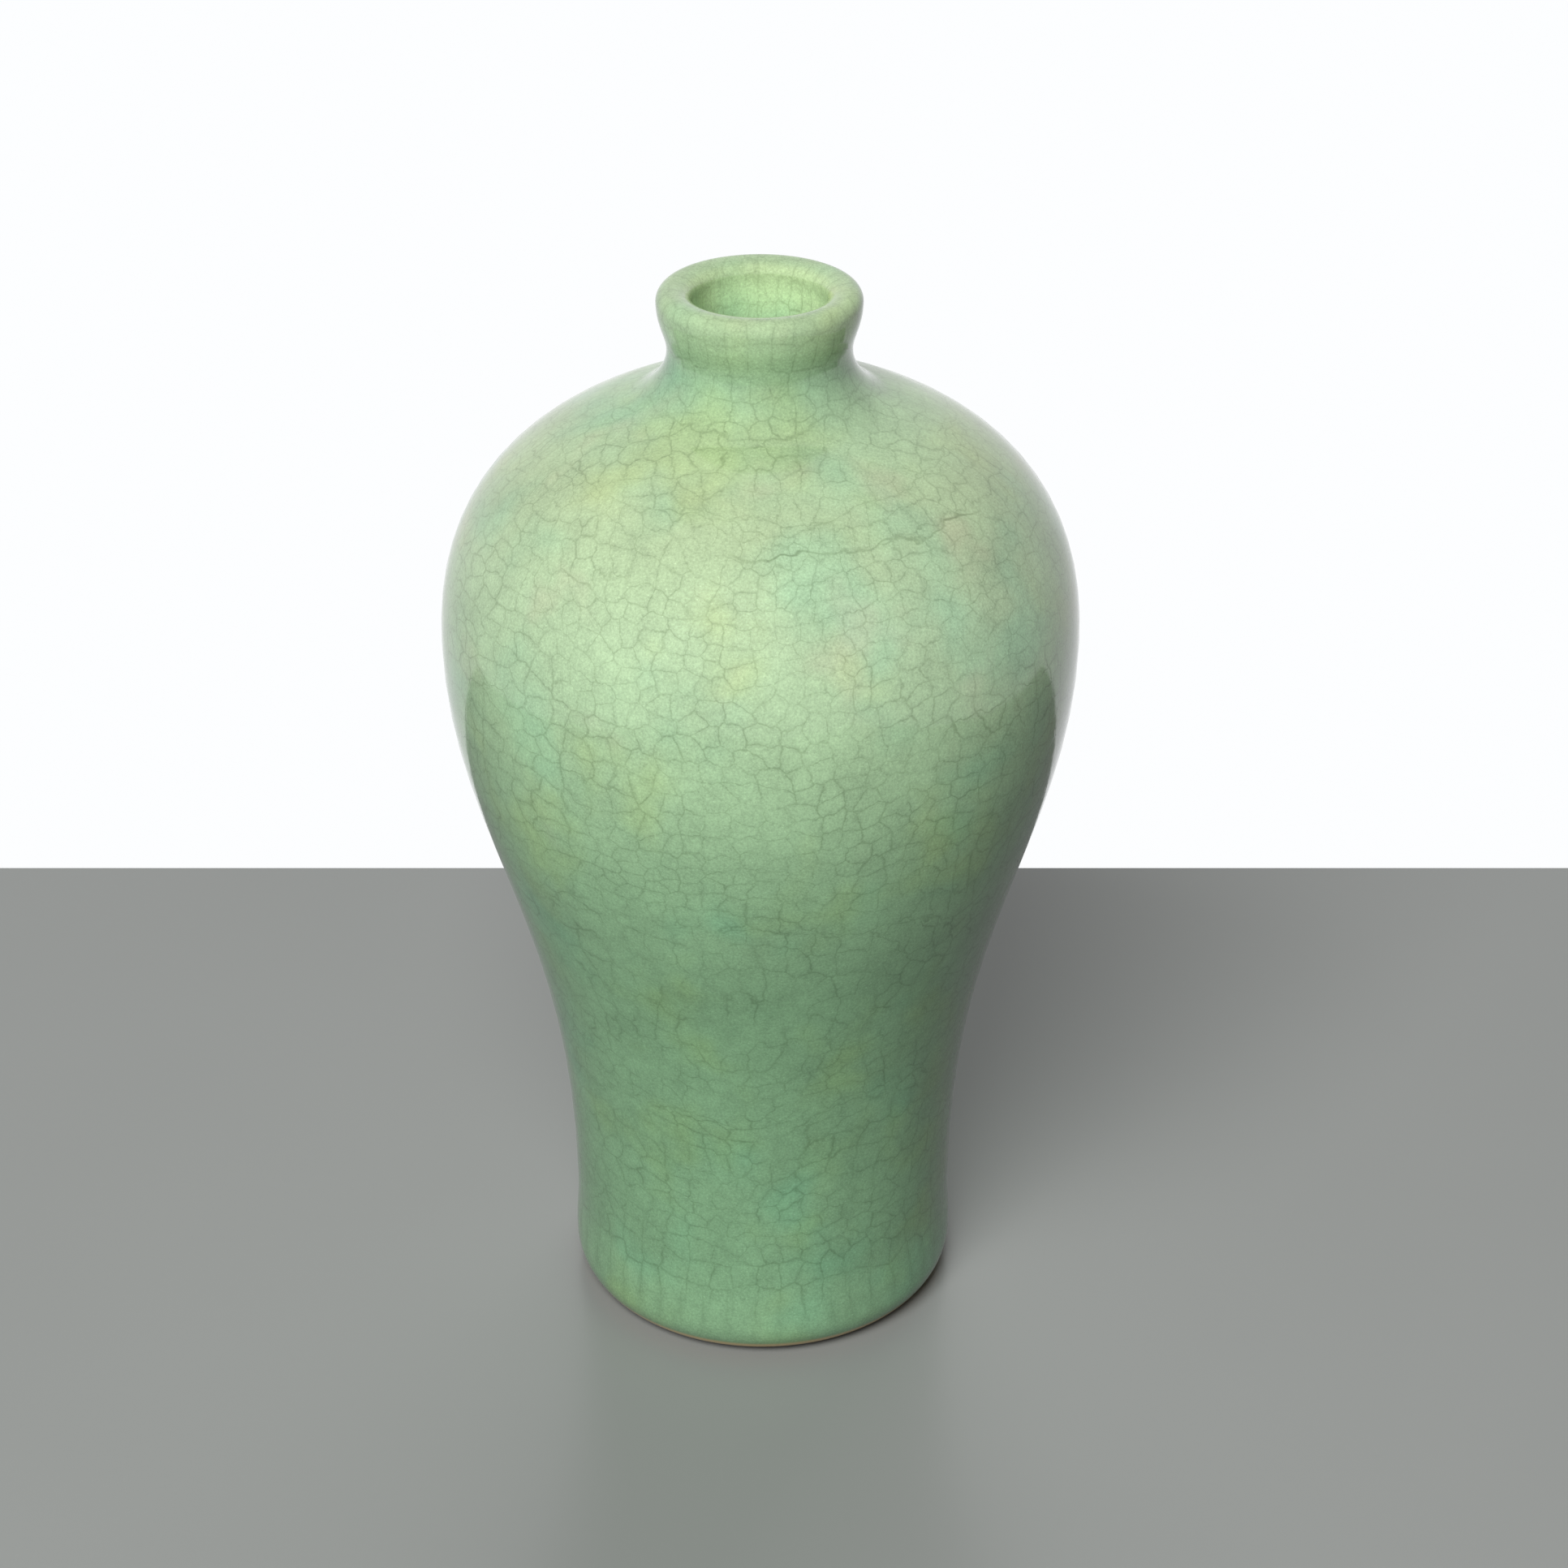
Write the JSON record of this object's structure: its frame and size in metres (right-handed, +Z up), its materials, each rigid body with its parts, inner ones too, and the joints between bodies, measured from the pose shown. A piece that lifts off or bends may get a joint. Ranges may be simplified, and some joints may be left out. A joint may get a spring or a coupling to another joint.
{
  "type": "meiping vase",
  "caption": "Meiping vase in crackled celadon stoneware: narrow rolled mouth, short neck, high round shoulder, tapering body and turned foot ring.",
  "frame": {"origin": "on the vase's axis, in the plane that the foot ring stands on", "axes": "+Z up the axis, from the foot to the mouth; the vase is round, so +X and +Y are any two level directions, and the picture looks along +Y"},
  "size_m": [0.1584, 0.1584, 0.28],
  "materials": {
    "clay": "unglazed, matt",
    "slip": "unglazed, matt",
    "outer_glaze": "glossy, crackled",
    "inner_glaze": "glossy",
    "base_glaze": "glossy, crackled"
  },
  "bodies": {
    "root": {"lower_section": "clay", "belly_section": "clay", "shoulder_and_neck": "clay", "waist_seam_slip": "slip", "shoulder_seam_slip": "slip", "outer_glaze": "outer_glaze", "inner_glaze": "inner_glaze", "base_glaze": "base_glaze"}
  },
  "joints": []
}
